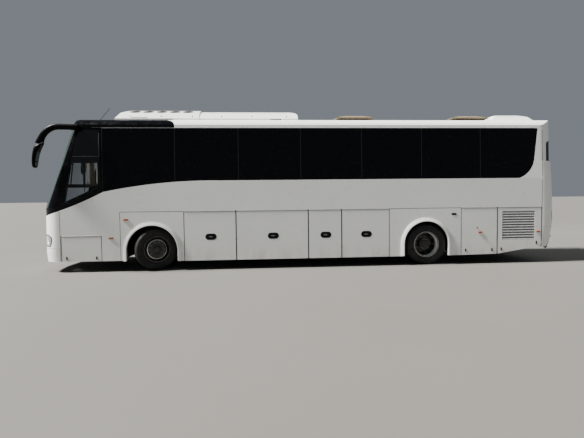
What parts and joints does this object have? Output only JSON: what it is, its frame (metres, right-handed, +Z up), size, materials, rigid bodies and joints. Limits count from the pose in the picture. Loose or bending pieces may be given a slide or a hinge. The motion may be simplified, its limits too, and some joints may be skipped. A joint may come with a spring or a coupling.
{
  "type": "coach bus",
  "caption": "Two-axle touring coach with a hollow cabin, raked windscreen, luggage bays under the floor, swing-up side flaps, steered front wheels and twin rear wheels.",
  "frame": {"origin": "middle of the bus's length and width, on the ground under the tyres", "axes": "+Z up, the bus's length along X with its front towards -X, its left side (driver) at -Y"},
  "size_m": [11.9999, 2.83, 3.7574],
  "materials": {
    "white_paint": "gloss white body paint with light dust",
    "black_gloss": "gloss black trim",
    "privacy_glass": "dark privacy glass",
    "clear_glass": "lightly tinted safety glass",
    "lamp_glass": "clear lamp lens",
    "red_lens": "red lamp lens",
    "amber_lens": "amber marker lens",
    "tan_plastic": "weathered tan hatch lid",
    "black_plastic": "black moulded plastic",
    "tyre_rubber": "black tyre rubber with dust",
    "rim_steel": "dark painted steel with bare bright rings",
    "chassis_steel": "black painted chassis steel",
    "engine_iron": "cast iron with road dust",
    "floor_covering": "ribbed rubber floor covering",
    "seat_fabric": "dark blue seat fabric"
  },
  "bodies": {
    "root": {"air_conditioner": "white_paint", "chassis_frame": "chassis_steel", "dashboard": "black_plastic", "driver_seat": "seat_fabric", "driver_window": "clear_glass", "engine": "engine_iron", "floor_deck": "floor_covering", "front_axle": "chassis_steel", "front_frame": "black_gloss", "front_mask": "white_paint", "headlamps": "lamp_glass", "luggage_bays": "chassis_steel", "mirrors": "black_gloss", "passenger_seats": "seat_fabric", "rear_axle": "chassis_steel", "rear_panel": "white_paint", "rear_window": "privacy_glass", "roof_front_cap": "black_gloss", "roof_hatches": "tan_plastic", "roof_pod_rear": "white_paint", "roof_shell": "white_paint", "side_glass_left": "privacy_glass", "side_glass_right": "privacy_glass", "side_markers": "amber_lens", "side_wall_left": "white_paint", "side_wall_right": "white_paint", "steering_wheel": "black_plastic", "tail_lamps": "red_lens", "tow_eyes": "chassis_steel", "wheelhouses": "black_plastic", "windscreen": "clear_glass"},
    "knuckle_left": {"knuckle_left": "chassis_steel"},
    "knuckle_right": {"knuckle_right": "chassis_steel"},
    "wheel_front_left": {"rim_front_left": "rim_steel", "tyre_front_left": "tyre_rubber"},
    "wheel_front_right": {"rim_front_right": "rim_steel", "tyre_front_right": "tyre_rubber"},
    "wheels_rear_left": {"rims_rear_left": "rim_steel", "tyres_rear_left": "tyre_rubber"},
    "wheels_rear_right": {"rims_rear_right": "rim_steel", "tyres_rear_right": "tyre_rubber"},
    "front_door_arm": {"front_door_arm": "chassis_steel"},
    "front_door": {"front_door": "black_gloss", "front_door_glass": "clear_glass"},
    "luggage_door_left_1": {"luggage_door_left_1": "white_paint"},
    "luggage_door_left_2": {"luggage_door_left_2": "white_paint"},
    "luggage_door_left_3": {"luggage_door_left_3": "white_paint"},
    "luggage_door_left_4": {"luggage_door_left_4": "white_paint"},
    "service_door_left": {"service_door_left": "white_paint"},
    "grille_door": {"grille_door": "white_paint"},
    "service_flap_left": {"service_flap_left": "white_paint"},
    "luggage_door_right_1": {"luggage_door_right_1": "white_paint"},
    "luggage_door_right_2": {"luggage_door_right_2": "white_paint"},
    "luggage_door_right_3": {"luggage_door_right_3": "white_paint"},
    "service_door_right": {"service_door_right": "white_paint"},
    "engine_hatch": {"engine_hatch": "white_paint"}
  },
  "joints": [
    {"name": "steer_left", "type": "hinge", "parent": "root", "child": "knuckle_left", "pos_m": [-3.51, -0.96, 0.47], "axis": [0, 0, 1], "range_deg": [-64, 20]},
    {"name": "steer_right", "type": "hinge", "parent": "root", "child": "knuckle_right", "pos_m": [-3.51, 0.96, 0.47], "axis": [0, 0, 1], "range_deg": [-64, 20]},
    {"name": "spin_front_left", "type": "hinge", "parent": "knuckle_left", "child": "wheel_front_left", "pos_m": [-3.46397, -1.05437, 0.47], "axis": [-0.4384, 0.8988, 0], "continuous": true},
    {"name": "spin_front_right", "type": "hinge", "parent": "knuckle_right", "child": "wheel_front_right", "pos_m": [-3.55103, 1.05665, 0.47], "axis": [-0.3907, 0.9205, 0], "continuous": true},
    {"name": "spin_rear_left", "type": "hinge", "parent": "root", "child": "wheels_rear_left", "pos_m": [2.78, -1.065, 0.47], "axis": [0, 1, 0], "continuous": true},
    {"name": "spin_rear_right", "type": "hinge", "parent": "root", "child": "wheels_rear_right", "pos_m": [2.78, 1.065, 0.47], "axis": [0, 1, 0], "continuous": true},
    {"name": "front_door_arm_swing", "type": "hinge", "parent": "root", "child": "front_door_arm", "pos_m": [-5.048, 1.15, 1.4], "axis": [0, 0, 1], "range_deg": [0, 130]},
    {"name": "front_door_parallel", "type": "hinge", "parent": "front_door_arm", "child": "front_door", "pos_m": [-4.618, 1.15, 1.4], "axis": [0, 0, 1], "range_deg": [-130, 0]},
    {"name": "luggage_door_left_1_swing", "type": "hinge", "parent": "root", "child": "luggage_door_left_1", "pos_m": [-2.22, -1.25, 1.322], "axis": [-1, 0, 0], "range_deg": [0, 90]},
    {"name": "luggage_door_left_2_swing", "type": "hinge", "parent": "root", "child": "luggage_door_left_2", "pos_m": [-0.8225, -1.25, 1.322], "axis": [-1, 0, 0], "range_deg": [0, 90]},
    {"name": "luggage_door_left_3_swing", "type": "hinge", "parent": "root", "child": "luggage_door_left_3", "pos_m": [0.379, -1.25, 1.322], "axis": [-1, 0, 0], "range_deg": [0, 90]},
    {"name": "luggage_door_left_4_swing", "type": "hinge", "parent": "root", "child": "luggage_door_left_4", "pos_m": [1.3215, -1.25, 1.322], "axis": [-1, 0, 0], "range_deg": [0, 90]},
    {"name": "service_door_left_swing", "type": "hinge", "parent": "root", "child": "service_door_left", "pos_m": [4.0225, -1.25, 1.322], "axis": [-1, 0, 0], "range_deg": [0, 90]},
    {"name": "grille_door_swing", "type": "hinge", "parent": "root", "child": "grille_door", "pos_m": [5.0065, -1.25, 1.322], "axis": [-1, 0, 0], "range_deg": [0, 90]},
    {"name": "service_flap_left_swing", "type": "hinge", "parent": "root", "child": "service_flap_left", "pos_m": [-5.025, -1.25, 0.805], "axis": [-1, 0, 0], "range_deg": [0, 90]},
    {"name": "luggage_door_right_1_swing", "type": "hinge", "parent": "root", "child": "luggage_door_right_1", "pos_m": [-0.8225, 1.25, 1.322], "axis": [1, 0, 0], "range_deg": [0, 90]},
    {"name": "luggage_door_right_2_swing", "type": "hinge", "parent": "root", "child": "luggage_door_right_2", "pos_m": [0.379, 1.25, 1.322], "axis": [1, 0, 0], "range_deg": [0, 90]},
    {"name": "luggage_door_right_3_swing", "type": "hinge", "parent": "root", "child": "luggage_door_right_3", "pos_m": [1.3215, 1.25, 1.322], "axis": [1, 0, 0], "range_deg": [0, 90]},
    {"name": "service_door_right_swing", "type": "hinge", "parent": "root", "child": "service_door_right", "pos_m": [4.0225, 1.25, 1.322], "axis": [1, 0, 0], "range_deg": [0, 90]},
    {"name": "engine_hatch_swing", "type": "hinge", "parent": "root", "child": "engine_hatch", "pos_m": [5.9795, 0, 1.7], "axis": [0, -1, 0], "range_deg": [0, 80]}
  ],
  "couplings": [
    {"joint": "steer_right", "follows": "steer_left", "ratio": 1},
    {"joint": "front_door_parallel", "follows": "front_door_arm_swing", "ratio": -1}
  ]
}
